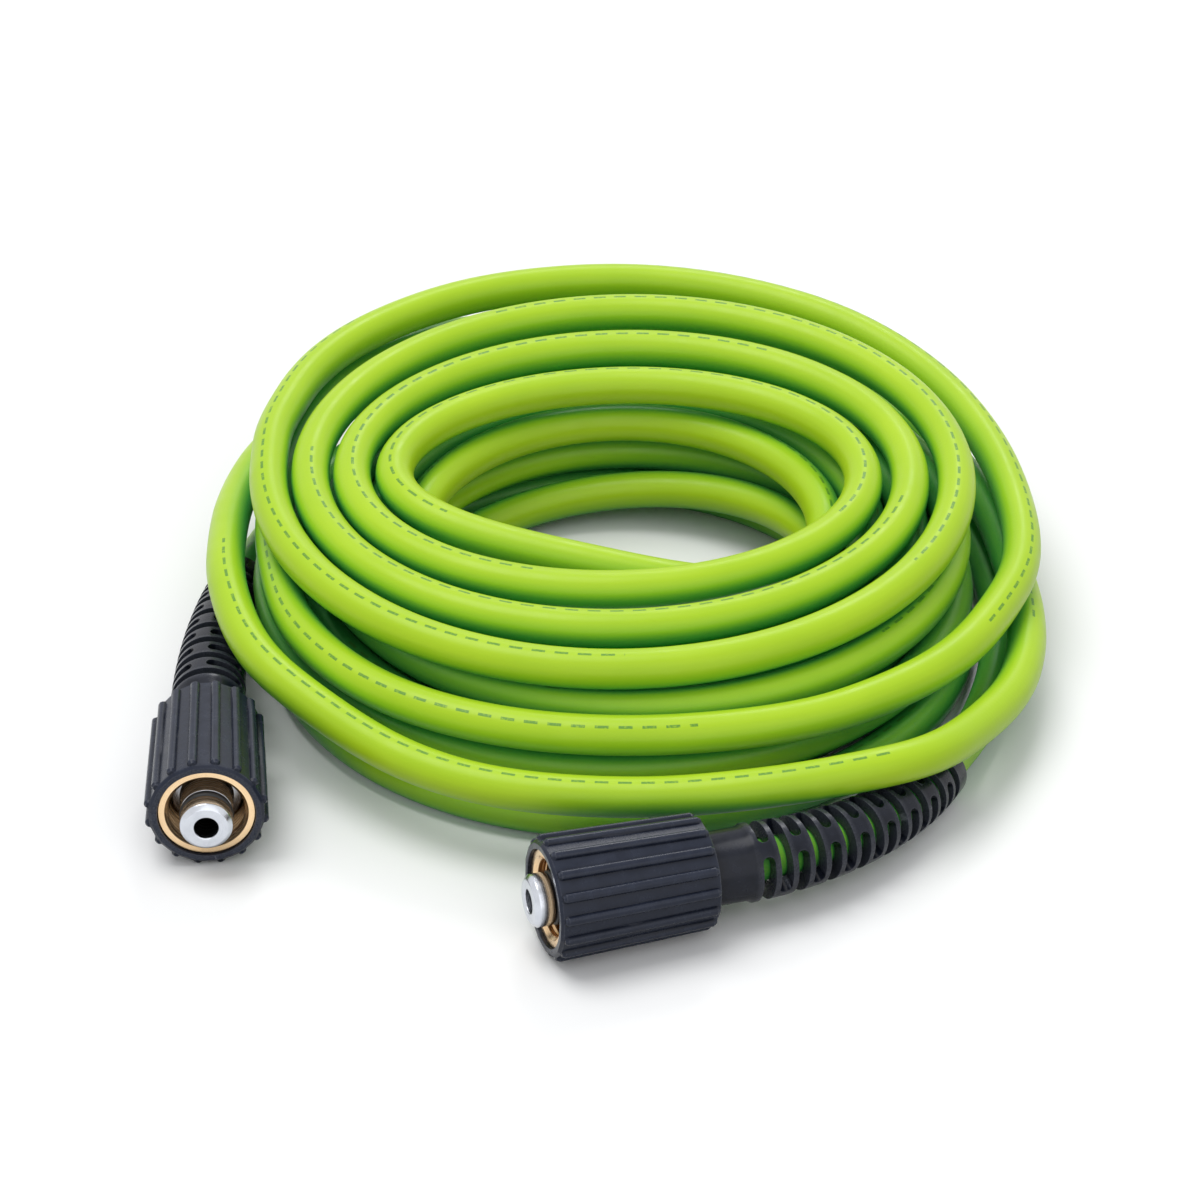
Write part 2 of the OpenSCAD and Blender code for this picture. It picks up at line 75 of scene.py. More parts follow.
# Colours, as linear red, green and blue
LIME = (0.39, 0.61, 0.013, 1)
LIME_LIGHT = (0.44, 0.655, 0.017, 1)
LIME_LINES = (0.3, 0.55, 0.013, 1)
# Painted shade colours of the rubber, for its sheltered sides and its crevices
LIME_SHELTER_SHADE = (0.14, 0.56, 0.03, 1)
LIME_CREVICE_SHADE = (0.006, 0.3, 0.08, 1)
DASH_GREEN = (0.07, 0.24, 0.03, 1)
GRIP_BLACK = (0.016, 0.0205, 0.037, 1)
GRIP_BLACK_LIGHT = (0.024, 0.03, 0.051, 1)
BOOT_BLACK = (0.008, 0.010, 0.017, 1)
BOOT_BLACK_LIGHT = (0.014, 0.0165, 0.027, 1)
# Worn rib edges, lightened further as a painted highlight
WORN_EDGE_AND_HIGHLIGHT = (0.16, 0.17, 0.205, 1)
# Painted shade in the valleys beside the ribs
VALLEY_SHADE_BLACK = (0.002, 0.003, 0.006, 1)
BRASS = (0.94, 0.69, 0.42, 1)
BRASS_BLOOM = (0.84, 0.58, 0.33, 1)
# Painted shade for the sheltered brass inside the couplings
BRASS_HOLLOW_SHADE = (0.36, 0.19, 0.07, 1)
ZINC = (0.64, 0.665, 0.72, 1)
ZINC_BLOOM = (0.5, 0.525, 0.58, 1)
# Painted shade for the sheltered zinc inside the couplings
ZINC_HOLLOW_SHADE = (0.2, 0.19, 0.185, 1)
SEAL_BLACK = (0.008, 0.008, 0.009, 1)
SEAL_BLACK_LIGHT = (0.02, 0.02, 0.022, 1)
PLATED = (0.72, 0.74, 0.78, 1)
PLATED_BLOOM = (0.5, 0.52, 0.55, 1)
COVER_END = (0.24, 0.5, 0.01, 1)
COVER_END_LIGHT = (0.33, 0.64, 0.012, 1)
TUBE_BLACK = (0.012, 0.012, 0.014, 1)
TUBE_BLACK_LIGHT = (0.03, 0.03, 0.033, 1)
YARN = (0.45, 0.43, 0.38, 1)
YARN_LIGHT = (0.75, 0.73, 0.68, 1)

# The row of dashes: a dash with its gap and a run of dashes with its gap in metres, the part of it
# that is printed, and the row's place around the hose, half width and slow drift in radians
DASH_PITCH = 0.0062
RUN_PITCH = 0.34
RUN_SHARE = 0.72
ROW_AT = 1.35
ROW_EDGE = (0.085, 0.065)
ROW_DRIFT = 0.35
DRIFT_RATE = 2.3

# Hose and coil
HOSE_D = 11
HOSE_SIDES = 24
RING_SPACING = 3
COIL_Z = 4.4
LAYER_RISE = 12.9
LAYER_LEAN = 1
LAYER_SAG = 0.4
SAG_RADIUS = 60
FIRST_AZIMUTH = 90
CLIMB_TURNS = 0.5
CLIMB_SWINGS = (-4, 6, -14)
# Each layer of loops: turns, first and last radius (across and in depth), first and last centre
LAYERS = [
    (2.75, (104, 104), (62, 62), (2, -23), (5, -14)),
    (3.5, (59.5, 59.5), (101, 101), (6.6, -12), (6.6, -12)),
    (3, (92, 92), (56, 56), (9, -9), (9, -9)),
    (3, (64.4, 44.5), (102.3, 105.2), (4.8, -1), (6.8, 4.2))]
SAMPLES_PER_LOOP = 96

# Route of the hose from the last loop, down around the outside to the right coupling
RIGHT_ROUTE = [
    (-86, 61, 42.4), (-67.5, 88, 42.5), (-36.5, 110, 42.3), (4, 119.5, 41.5),
    (42, 115.5, 39.5), (76, 99, 36.8), (101, 70, 34), (115, 36, 31.5), (120.5, 2, 29.3),
    (119.5, -25, 28.5), (112, -47, 28.5), (99, -71, 28.5), (81, -89, 28.5), (53, -105, 28.5),
    (11, -112, 28.5), (-28, -107, 28.5), (-60, -90, 28.5), (-82, -62, 28.8), (-91, -30, 29),
    (-94, 5, 29.2), (-90.5, 42, 29.5), (-77.5, 78.5, 30), (-49, 105.5, 29), (-8, 114, 28),
    (35, 109, 26), (70, 90, 23.5), (97, 62, 20.5), (113, 29, 17.8), (118.5, -5, 17),
    (120.5, -40, 16.8), (115, -71, 17.8), (102, -96, 20.5), (88, -115.5, 24.8), (70, -125.5, 26.5),
    (46, -130, 24.6), (12, -131, 21.8), (-25, -127, 21.8), (-53, -114, 22.6), (-78, -91, 25),
    (-95, -70, 28), (-104.5, -40, 29.8), (-106.8, -10, 28), (-105.5, 20, 24.8), (-98, 52, 22),
    (-82, 79, 19), (-55, 98, 17), (-20, 107, 16), (16, 105, 15.2), (50, 95, 13), (80, 77, 10),
    (101, 50, 7), (112, 18, 5.6), (115, -15, 5.6), (112.3, -45, 5.6), (106, -69, 5.8), (100, -83, 6.4)]
# Route of the hose from the left coupling to the first loop
LEFT_ROUTE = [(-99, 21, 5.8), (-91.5, 43, 5.6), (-77, 60, 5.6), (-57, 71, 5.6), (-37, 77, 5.2)]
ROUTE_SAMPLES = 10

# Probe
PROBE_D = 14
PROBE_L = 16
PROBE_BORE_D = 6.4
PROBE_SINK_D = 6.9
TAIL_BORE_D = 4.6
BORE_STEP = 3
PROBE_CHAMFER = 1.2
GROOVE_W = 2.6
GROOVE_AT = 5.2
O_RING_D = 2
O_RING_STAND = 0.2
FLANGE_D = 18.6
FLANGE_T = 2.6
NECK_D = 13
TAIL_D = 6

# Nut and grip sleeve
THREAD_D = 22
THREAD_PITCH = 1.5
THREAD_TURNS = 8
THREAD_LEAD = 1.5
THREAD_COLUMNS = 96
LEAD_IN = 0.15
# Five eighths of the height of the sharp thread
THREAD_DEPTH = (1 - 1 / 8 - 1 / 4) * THREAD_PITCH / 2 / math.tan(math.radians(30))
NUT_D = 26
NUT_WALL = 2.5
NUT_CHAMFER = 0.3
NUT_TRAVEL = 6.5
WASHER_T = 0.8
STOP_GAP = 0.1
SLIDE_GAP = 0.3
PROBE_STAND = 6.6
NUT_RECESS = 1
GRIP_L = 43.8
GRIP_D = 33.3
GRIP_REAR_D = 30.8
PANEL_D = 30.6
RIB_COUNT = 16
RIB_W = 2.6
GRIP_LIP = 1.6
GRIP_REAR_LIP = 0.8
GRIP_CHAMFER = 0.8
GRIP_REAR_CHAMFER = 0.35
GRIP_REAR_SLOPE = 0.8
GRIP_BORE_CHAMFER = 0.3
# How flat the panels are, how square the ribs are, and the short chamfers at the ends of the ribs
PANEL_FLATNESS = 0.6
RIB_SQUARENESS = 2.6
NOSE_L = 0.9
NOSE_SHARE = 0.6
# How far the ribs run out past their straight part, and how softly they meet the panels
RIB_FRONT_REACH = 0.7
RIB_REAR_REACH = 0.4
RIB_BLEND = 0.35

# Ferrule and bend restrictor
FERRULE_D = 16.4
COLLAR_D = 19.7
COLLAR_GAP = 0.4
COLLAR_STOP = 1.4
COLLAR_SHOWS = 10.5
COLLAR_CHAMFER = 0.4
RING_FIRST_D = 21
RING_LAST_D = 15.2
RING_COUNT = 15
RING_W = 1.5
SLOT_W = 3
WEB_W = 4.2
WEB_TURN = 138
FLARE_L = 1.4
END_COLLAR_L = 5.5
HOSE_BORE_D = 12
FLOOR_GAP = 0.5
# Columns of its mesh over a web and over the slot beside it, and rows across a slot
WEB_STEPS = 8
SLOT_STEPS = 10
QUARTER = WEB_STEPS + SLOT_STEPS
WEB_LEVELS = 8

# Places along the axis of a coupling, from the tip of the probe towards the hose
FLANGE_REAR = PROBE_L + FLANGE_T
NUT_WALL_AT = FLANGE_REAR + NUT_TRAVEL + WASHER_T + 2 * STOP_GAP
NUT_REAR = NUT_WALL_AT + NUT_WALL
NUT_FRONT = PROBE_STAND + NUT_RECESS
GRIP_REAR = PROBE_STAND + GRIP_L
FERRULE_AT = NUT_REAR + 1
HOSE_AT = FERRULE_AT + 3
COLLAR_AT = FERRULE_AT + 6.5
COLLAR_END = GRIP_REAR + COLLAR_SHOWS
FERRULE_END = COLLAR_END - COLLAR_STOP
TAIL_END = FERRULE_END - 2.5
RING_PITCH = RING_W + SLOT_W
RINGS_L = RING_COUNT * RING_PITCH + SLOT_W
ARC_L = RINGS_L + END_COLLAR_L

# The grip lies on two ribs, and its taper tilts the coupling down towards the hose
RIB_RING_R = (GRIP_D - RIB_W) / 2
RIB_RING_DROP = (GRIP_D - GRIP_REAR_D) / 2
RIBS_AT = PROBE_STAND + GRIP_LIP
RIBS_L = GRIP_L - GRIP_LIP - GRIP_REAR_LIP
LOWEST_RIBS = math.cos(math.pi / RIB_COUNT)
TILT = math.atan(RIB_RING_DROP * LOWEST_RIBS / RIBS_L)
TIP_Z = RIBS_AT * math.sin(TILT) + RIB_RING_R * LOWEST_RIBS * math.cos(TILT) + RIB_W / 2


class End:
    """One end of the hose: where its probe tip is, which way it points and how its boot bends."""

    def __init__(self, name, tip, heading, bend, side, nut_forward):
        self.name = name
        self.tip = Vector((tip[0], tip[1], TIP_Z))
        self.bend = math.radians(bend)
        self.arc_radius = ARC_L / self.bend
        turn = math.radians(heading)
        ahead = Vector((math.cos(turn), math.sin(turn), 0))
        upright = Vector((0, 0, 1))
        sideways = side * upright.cross(ahead)
        self.axis = ahead * math.cos(TILT) - upright * math.sin(TILT)
        up_way = ahead * math.sin(TILT) + upright * math.cos(TILT)
        drop = (TIP_Z - (COLLAR_END + self.arc_radius * math.sin(self.bend)) * math.sin(TILT)
                - RING_LAST_D / 2 - FLOOR_GAP)
        sag = self.arc_radius * (1 - math.cos(self.bend)) * math.cos(TILT)
        roll = math.asin(min(1, drop / sag))
        self.bend_way = sideways * math.cos(roll) - up_way * math.sin(roll)
        stand = Matrix.Translation(self.tip - BASE_MIDDLE) @ Matrix.Rotation(turn, 4, "Z")
        tipped = Matrix.Rotation(math.radians(90) + TILT, 4, "Y")
        self.place = Matrix.Scale(MM, 4) @ stand @ tipped
        self.nut_place = self.place @ Matrix.Translation((0, 0, -nut_forward))
        self.roll_about_axis = side * (math.radians(90) - roll)

    def on_axis(self, s):
        return self.tip + self.axis * s

    def on_arc(self, t):
        a = self.bend * t
        return (self.on_axis(COLLAR_END) + self.axis * self.arc_radius * math.sin(a)
                + self.bend_way * self.arc_radius * (1 - math.cos(a)))

    def arc_exit(self):
        return self.axis * math.cos(self.bend) + self.bend_way * math.sin(self.bend)


LEFT = End("left", (-103.4, -137.8), 94, 14, -1, 0)
RIGHT = End("right", (-18.4, -169.9), 19, 49.6, 1, 2.6)


# ---------------------------------------------------------------- camera, lights and floor

def make_camera():
    data = bpy.data.cameras.new("camera")
    data.lens = CAMERA_LENS
    data.sensor_width = 36
    data.clip_start = 0.05
    data.clip_end = 50
    camera = bpy.data.objects.new("camera", data)
    bpy.context.scene.collection.objects.link(camera)
    tilt = math.radians(CAMERA_ELEVATION)
    camera.location = CAMERA_AIM + CAMERA_DISTANCE * Vector((0, -math.cos(tilt), math.sin(tilt)))
    camera.rotation_euler = (math.radians(90) - tilt, 0, 0)
    bpy.context.scene.camera = camera


def make_lamp(name, strength, place, width):
    """A distant lamp that shines from a place towards the object."""
    data = bpy.data.lights.new(name, "SUN")
    data.energy = strength
    data.angle = math.radians(width)
    lamp = bpy.data.objects.new(name, data)
    bpy.context.scene.collection.objects.link(lamp)
    lamp.location = place
    lamp.rotation_euler = (-Vector(place)).to_track_quat("-Z", "Y").to_euler()


def seen_directly(tree):
    """1 for the rays that show a surface to the eye or in metal, 0 for the light that it casts."""
    path = add(tree, "ShaderNodeLightPath")
    mirrored = math_node(tree, "MAXIMUM", path.outputs["Is Glossy Ray"],
                         path.outputs["Is Transmission Ray"])
    return math_node(tree, "MAXIMUM", path.outputs["Is Camera Ray"], mirrored)


def make_world():
    """A pale room, brighter above than below, that looks white to the eye."""
    world = bpy.data.worlds.new("studio")
    bpy.context.scene.world = world
    world.use_nodes = True
    tree = world.node_tree
    tree.nodes.clear()
    seen = add(tree, "ShaderNodeBackground", {"Color": (1, 1, 1, 1), "Strength": 1.0})
    way = add(tree, "ShaderNodeTexCoord").outputs["Generated"]
    height = add(tree, "ShaderNodeSeparateXYZ", {0: way}).outputs[2]
    strength = ramp(tree, height, 0.0, 1.0, WORLD_LOW, WORLD_HIGH)
    lit = add(tree, "ShaderNodeBackground", {"Color": (0.97, 0.985, 1, 1), "Strength": strength})
    mixed = add(tree, "ShaderNodeMixShader", {0: seen_directly(tree), 1: lit.outputs[0],
                                              2: seen.outputs[0]})
    add(tree, "ShaderNodeOutputWorld", {0: mixed.outputs[0]})


def make_floor():
    corners = [(x * FLOOR_HALF, y * FLOOR_HALF, 0) for x, y in ((-1, -1), (1, -1), (1, 1), (-1, 1))]
    floor = mesh_object("floor", corners, [(0, 1, 2, 3)])
    floor.data.materials.append(floor_paper())


# ---------------------------------------------------------------- route of the hose

def ease(t):
    return t * t * (3 - 2 * t)


def mix(a, b, t):
    return a + (b - a) * t


def mix_pair(a, b, t):
    return (mix(a[0], b[0], t), mix(a[1], b[1], t))


def loop_place(radii, centre, turns, level):
    angle = math.radians(FIRST_AZIMUTH - 360 * turns)
    y = centre[1] + radii[1] * math.sin(angle)
    rise = LAYER_RISE + LAYER_LEAN * y / 100 - LAYER_SAG * (radii[0] - SAG_RADIUS) / 50
    return Vector((centre[0] + radii[0] * math.cos(angle), y, COIL_Z + level * rise))


def way_along(turns):
    angle = math.radians(FIRST_AZIMUTH - 360 * turns)
    return Vector((math.sin(angle), -math.cos(angle), 0))


def coil_points():
    """The loops of the coil, layer by layer, and the directions in which it starts and ends."""
    points = []
    turned = 0
    for k, (turns, r_first, r_last, c_first, c_last) in enumerate(LAYERS):
        steps = round(turns * SAMPLES_PER_LOOP)
        for i in range(steps):
            t = i / steps
            points.append(loop_place(mix_pair(r_first, r_last, t), mix_pair(c_first, c_last, t),
                                     turned + turns * t, k))
        turned += turns
        if k == len(LAYERS) - 1:
            points.append(loop_place(r_last, c_last, turned, k))
            break
        steps = round(CLIMB_TURNS * SAMPLES_PER_LOOP)
        for i in range(steps):
            t = i / steps
            swing = CLIMB_SWINGS[k] * math.sin(math.pi * t) ** 2
            across, deep = mix_pair(r_last, LAYERS[k + 1][1], ease(t))
            points.append(loop_place((across + swing, deep + swing),
                                     mix_pair(c_last, LAYERS[k + 1][3], ease(t)),
                                     turned + CLIMB_TURNS * t, k + ease(t)))
        turned += CLIMB_TURNS
    return points, way_along(0), way_along(turned)


def curve_through(points, samples=ROUTE_SAMPLES):
    """A smooth curve through chosen points."""
    padded = [2 * points[0] - points[1]] + points + [2 * points[-1] - points[-2]]
    curve = []
    for a, b, c, d in zip(padded, padded[1:], padded[2:], padded[3:]):
        for step in range(samples):
            t = step / samples
            curve.append((2 * b + (c - a) * t + (2 * a - 5 * b + 4 * c - d) * t * t
                          + (3 * b - a - 3 * c + d) * t * t * t) / 2)
    return curve + [points[-1]]


def boot_path(end, steps=24):
    return [end.on_axis(FERRULE_END)] + [end.on_arc(i / steps) for i in range(steps + 1)]


def past_boot(end):
    return end.on_arc(1) + end.arc_exit() * HOSE_D / 2


def spaced(points, spacing):
    """The same line with points at equal distances."""
    lengths = [0]
    for a, b in zip(points, points[1:]):
        lengths.append(lengths[-1] + (b - a).length)
    count = round(lengths[-1] / spacing)
    line = []
    k = 0
    for i in range(count + 1):
        s = lengths[-1] * i / count
        while k < len(points) - 2 and lengths[k + 1] < s:
            k += 1
        t = (s - lengths[k]) / max(lengths[k + 1] - lengths[k], 1e-9)
        line.append(points[k].lerp(points[k + 1], min(t, 1)))
    return line


def smoothed(points, reach, rounds=2):
    """The same line with its small kinks averaged out and its ends kept."""
    line = points
    for _ in range(rounds):
        sums = [Vector((0, 0, 0))]
        for p in line:
            sums.append(sums[-1] + p)
        last = len(line) - 1
        averaged = []
        for i in range(len(line)):
            half = min(reach, i, last - i)
            averaged.append((sums[i + half + 1] - sums[i - half]) / (2 * half + 1))
        line = averaged
    return line


def hose_path():
    loops, first_way, last_way = coil_points()
    coil_first = loops[0] - first_way * HOSE_D
    coil_last = loops[-1] + last_way * HOSE_D
    left = [past_boot(LEFT)] + [Vector(p) for p in LEFT_ROUTE] + [coil_first - first_way * HOSE_D]
    right = [coil_last + last_way * HOSE_D] + [Vector(p) for p in RIGHT_ROUTE] + [past_boot(RIGHT)]
    whole = (boot_path(LEFT) + curve_through(left) + [coil_first] + loops + [coil_last]
             + curve_through(right) + boot_path(RIGHT)[::-1])
    resting = [Vector((p.x, p.y, max(p.z, HOSE_D / 2))) for p in whole]
    return spaced(smoothed(spaced(resting, 1), reach=7), RING_SPACING)


# ---------------------------------------------------------------- meshes

def mesh_object(name, points, faces, local=None):
    """A mesh in metres. Local are the points in the piece's own frame, which its material follows."""
    mesh = bpy.data.meshes.new(name)
    mesh.from_pydata([tuple(p) for p in points], [], faces)
    if local is not None:
        kept = mesh.attributes.new("own_place", "FLOAT_VECTOR", "POINT")
        kept.data.foreach_set("vector", [value for p in local for value in p])
    obj = bpy.data.objects.new(name, mesh)
    bpy.context.scene.collection.objects.link(obj)
    return obj


def ring_points(radius, z, columns):
    """Points evenly around the axis of a coupling."""
    turns = [2 * math.pi * k / columns for k in range(columns)]
    return [Vector((radius * math.cos(a), radius * math.sin(a), z)) for a in turns]


def ring_faces(rows, columns, first=0, closed=False):
    """Faces between rows of points around an axis, and from the last row to the first if closed."""
    faces = []
    for i in range(rows if closed else rows - 1):
        a = first + i * columns
        b = first + (i + 1) % rows * columns
        for k in range(columns):
            n = (k + 1) % columns
            faces.append((a + k, a + n, b + n, b + k))
    return faces


def finish_mesh(obj, sharp_angle=35, bevel=0, merge=False):
    """Faces outward, smooth shading between sharp edges, and edges rounded as moulded or turned."""
    shape = bmesh.new()
    shape.from_mesh(obj.data)
    if merge:
        bmesh.ops.remove_doubles(shape, verts=shape.verts, dist=0.002 * MM)
        bmesh.ops.dissolve_degenerate(shape, edges=shape.edges, dist=0.001 * MM)
    bmesh.ops.recalc_face_normals(shape, faces=shape.faces)
    shape.to_mesh(obj.data)
    shape.free()
    obj.data.polygons.foreach_set("use_smooth", [True] * len(obj.data.polygons))
    if bevel:
        rounding = obj.modifiers.new("rounded_edges", "BEVEL")
        rounding.width = bevel * MM
        rounding.segments = 2
        rounding.limit_method = "ANGLE"
        rounding.angle_limit = math.radians(40)
        rounding.use_clamp_overlap = True
        rounding.harden_normals = True
    else:
        obj.data.set_sharp_from_angle(angle=math.radians(sharp_angle))


def hose_mesh(path):
    radius = HOSE_D / 2
    points = []
    rolled_out = []
    for i, centre in enumerate(path):
        way = (path[min(i + 1, len(path) - 1)] - path[max(i - 1, 0)]).normalized()
        across = Vector((0, 0, 1)).cross(way).normalized()
        up = way.cross(across)
        for k in range(HOSE_SIDES):
            angle = 2 * math.pi * k / HOSE_SIDES
            offset = radius * (math.cos(angle) * across + math.sin(angle) * up)
            points.append((centre + offset - BASE_MIDDLE) * MM)
            rolled_out.append((radius * math.cos(angle) * MM, radius * math.sin(angle) * MM,
                               i * RING_SPACING * MM))
    faces = ring_faces(len(path), HOSE_SIDES)
    last = (len(path) - 1) * HOSE_SIDES
    faces.append(tuple(reversed(range(HOSE_SIDES))))
    faces.append(tuple(range(last, last + HOSE_SIDES)))
    return mesh_object("hose", points, faces, rolled_out)


def with_round_corners(profile, radius, steps=3):
    """A closed profile of (z, r) pairs with an arc of up to that radius at every corner."""
    rounded = []
    count = len(profile)
    for i in range(count):
        here = Vector(profile[i])
        back = Vector(profile[i - 1]) - here
        ahead = Vector(profile[(i + 1) % count]) - here
        reach = min(radius, 0.4 * back.length, 0.4 * ahead.length)
        start = here + back.normalized() * reach
        stop = here + ahead.normalized() * reach
        for k in range(steps + 1):
            t = k / steps
            rounded.append(tuple(start * (1 - t) ** 2 + here * 2 * t * (1 - t) + stop * t * t))
    return rounded


def turned_piece(name, end, profile, columns=72):
    """A closed profile of (z, r) pairs turned about the axis of a coupling."""
    local = []
    for z, r in profile:
        local += ring_points(r, z, columns)
    faces = ring_faces(len(profile), columns, closed=True)
    obj = mesh_object(name, [end.place @ p for p in local], faces, [p * MM for p in local])
    finish_mesh(obj)
    return obj


def probe(end):
    probe_r = PROBE_D / 2
    bore_r = PROBE_BORE_D / 2
    groove_r = probe_r + O_RING_STAND - O_RING_D
    sink_l = (PROBE_SINK_D - PROBE_BORE_D) / 2
    profile = [
        (TAIL_END, TAIL_BORE_D / 2),
        (HOSE_AT - BORE_STEP, TAIL_BORE_D / 2),
        (HOSE_AT - BORE_STEP, bore_r),
        (sink_l, bore_r),
        (0, PROBE_SINK_D / 2),
        (0, probe_r - PROBE_CHAMFER),
        (PROBE_CHAMFER, probe_r),
        (GROOVE_AT, probe_r),
        (GROOVE_AT, groove_r),
        (GROOVE_AT + GROOVE_W, groove_r),
        (GROOVE_AT + GROOVE_W, probe_r),
        (PROBE_L, probe_r),
        (PROBE_L, FLANGE_D / 2),
        (FLANGE_REAR, FLANGE_D / 2),
        (FLANGE_REAR, NECK_D / 2),
        (HOSE_AT, NECK_D / 2),
        (HOSE_AT, TAIL_D / 2),
        (TAIL_END, TAIL_D / 2)]
    return turned_piece(end.name + "_probe", end, with_round_corners(profile, 0.25))


def o_ring(end, section_sides=20):
    middle_z = GROOVE_AT + GROOVE_W / 2
    middle_r = PROBE_D / 2 + O_RING_STAND - O_RING_D / 2
    section_r = O_RING_D / 2
    section = []
    for k in range(section_sides):
        angle = 2 * math.pi * k / section_sides
        section.append((middle_z + section_r * math.cos(angle), middle_r + section_r * math.sin(angle)))
    return turned_piece(end.name + "_seal", end, section)


def thread_rows(columns, steps_per_pitch=8):
    """Points and faces of a helical female thread from its first to its last turn."""
    start = NUT_FRONT + THREAD_LEAD
    stop = start + THREAD_TURNS * THREAD_PITCH
    minor_r = THREAD_D / 2 - THREAD_DEPTH
    groove = [0, 0.25, 0.62, 1, 1, 0.62, 0.25, 0]
    rows = (THREAD_TURNS + 1) * steps_per_pitch
    points = []
    for i in range(rows + 1):
        for k in range(columns):
            z = start + THREAD_PITCH * (i / steps_per_pitch - 1 + k / columns)
            z = min(max(z, start), stop)
            run_out = min(1, (z - start) / THREAD_PITCH, (stop - z) / THREAD_PITCH)
            r = minor_r + THREAD_DEPTH * groove[i % steps_per_pitch] * ease(run_out)
            angle = 2 * math.pi * k / columns
            points.append(Vector((r * math.cos(angle), r * math.sin(angle), z)))
    faces = []
    for i in range(rows):
        for k in range(columns - 1):
            a = i * columns + k
            faces.append((a, a + 1, a + 1 + columns, a + columns))
        if i + 1 + steps_per_pitch <= rows:
            a = i * columns + columns - 1
            b = (i + steps_per_pitch) * columns
            faces.append((a, b, b + columns, a + columns))
    return points, faces, start, stop


def nut(end):
    """The brass nut, with its thread cut as one helix."""
    local, faces, start, stop = thread_rows(THREAD_COLUMNS)
    minor_r = THREAD_D / 2 - THREAD_DEPTH
    neck_r = NECK_D / 2 + SLIDE_GAP
    mouth_r = THREAD_D / 2 + LEAD_IN
    rows = [(stop, minor_r), (NUT_WALL_AT, minor_r), (NUT_WALL_AT, neck_r), (NUT_REAR, neck_r),
            (NUT_REAR, NUT_D / 2), (NUT_FRONT + NUT_CHAMFER, NUT_D / 2),
            (NUT_FRONT, NUT_D / 2 - NUT_CHAMFER), (NUT_FRONT, mouth_r),
            (NUT_FRONT + mouth_r - minor_r, minor_r), (start, minor_r)]
    faces += ring_faces(len(rows), THREAD_COLUMNS, first=len(local))
    for z, r in rows:
        local += ring_points(r, z, THREAD_COLUMNS)
    obj = mesh_object(end.name + "_nut_insert", [end.nut_place @ p for p in local], faces,
                      [p * MM for p in local])
    finish_mesh(obj, sharp_angle=28, merge=True)
    return obj


def narrowed(z):
    """How much narrower the sleeve is at z than at its front."""
    return RIB_RING_DROP * min(max((z - RIBS_AT) / RIBS_L, 0), 1)


def panel_radius(angle, z):
    """Distance from the axis to the nearly flat panels between the ribs."""
    step = 2 * math.pi / RIB_COUNT
    off = (angle + step / 2) % step - step / 2
    return (PANEL_D / 2 - narrowed(z)) * mix(1, 1 / math.cos(off), PANEL_FLATNESS)


def rib_half_width(ahead):
    """Half the width of a rib, whose nose is a short chamfer that begins at ahead = 0."""
    return RIB_W / 2 * mix(NOSE_SHARE, 1, min(max(ahead / NOSE_L, 0), 1))


def rib_radius(angle, z, ahead):
    """Distance from the axis to the round top of a rib, or 0 beside it."""
    step = 2 * math.pi / RIB_COUNT
    off = (angle % step) - step / 2
    ring_r = RIB_RING_R - narrowed(z)
    half = rib_half_width(ahead)
    across = ring_r * math.sin(off)
    if ahead < 0 or abs(across) >= half:
        return 0
    crown = math.sqrt(1 - abs(across / half) ** RIB_SQUARENESS)
    return ring_r * math.cos(off) + half * crown


def soft_max(a, b, blend):
    h = max(blend - abs(a - b), 0) / blend
    return max(a, b) + h * h * blend / 4


def grip_angles(per_rib=16, per_panel=6):
    """Columns that lie close on each rib and wide on each panel."""
    step = 2 * math.pi / RIB_COUNT
    half_rib = math.asin(RIB_W / 2 / RIB_RING_R) * 1.12
    angles = []
    for rib in range(RIB_COUNT):
        middle = (rib + 0.5) * step
        for k in range(per_rib):
            angles.append(middle - half_rib * math.cos(math.pi * k / per_rib))
        start = middle + half_rib
        gap = step - 2 * half_rib
        for k in range(per_panel):
            angles.append(start + gap * k / per_panel)
    return angles


def grip_stations(first, last):
    """Places along the sleeve, close together on its two edges and on the noses of the ribs."""
    nose_parts = (-0.05, 0, 0.2, 0.45, 0.7, 0.9, 1, 1.1, 1.3)
    stations = [PROBE_STAND + d for d in (0, 0.06, 0.2, 0.45, GRIP_CHAMFER)]
    for nose, way in ((first, 1), (last, -1)):
        stations += [nose + way * NOSE_L * part for part in nose_parts]
    stations += [mix(first + 2 * NOSE_L, last - 2 * NOSE_L, k / 12) for k in range(13)]
    stations += [GRIP_REAR - d for d in (0, 0.06, 0.18, GRIP_REAR_CHAMFER)]
    return sorted(stations)


def grip_outside(angles):
    """Rows of (z, r) pairs from the front edge to the rear edge, over the panels and the ribs."""
    first = PROBE_STAND + GRIP_LIP - RIB_FRONT_REACH
    last = GRIP_REAR - GRIP_REAR_LIP + RIB_REAR_REACH
    rows = []
    for z in grip_stations(first, last):
        lost_in_front = max(0, GRIP_CHAMFER - (z - PROBE_STAND))
        lost_behind = max(0, GRIP_REAR_CHAMFER - (GRIP_REAR - z)) * GRIP_REAR_SLOPE
        lost = lost_in_front + lost_behind
        row = []
        for angle in angles:
            panel = panel_radius(angle, z) - lost
            rib = rib_radius(angle, z, min(z - first, last - z))
            row.append((z, soft_max(panel, rib, RIB_BLEND)))
        rows.append(row)
    return rows


def grip_bore():
    """(z, r) pairs of the bore, from the rear edge to the front edge."""
    bore_r = NUT_D / 2
    rear_bore_r = COLLAR_D / 2 + COLLAR_GAP
    return [
        (GRIP_REAR, rear_bore_r + GRIP_BORE_CHAMFER),
        (GRIP_REAR - GRIP_BORE_CHAMFER, rear_bore_r),
        (NUT_REAR, rear_bore_r),
        (NUT_REAR, bore_r),
        (PROBE_STAND + GRIP_BORE_CHAMFER, bore_r),
        (PROBE_STAND + 0.08, bore_r + 0.08),
        (PROBE_STAND, bore_r + GRIP_BORE_CHAMFER)]


